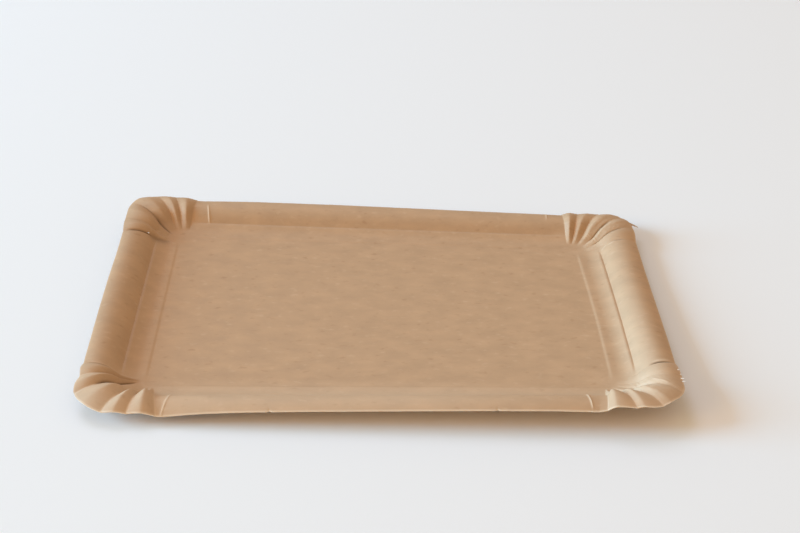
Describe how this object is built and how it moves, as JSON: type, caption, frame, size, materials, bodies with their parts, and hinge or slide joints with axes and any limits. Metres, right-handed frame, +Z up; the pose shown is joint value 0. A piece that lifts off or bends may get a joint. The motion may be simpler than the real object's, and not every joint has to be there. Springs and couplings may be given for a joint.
{
  "type": "paper plate",
  "caption": "Rectangular paper plate pressed from a sheet of brown kraft board, with a flat base, a rolled rim and pleated corner fans.",
  "frame": {"origin": "centre of the resting face of the flat base", "axes": "+X along the length, +Y along the width, +Z up out of the hollow"},
  "size_m": [0.232, 0.162, 0.0102],
  "materials": {
    "kraft_board": "matte"
  },
  "bodies": {
    "root": {"plate": "kraft_board"}
  },
  "joints": []
}
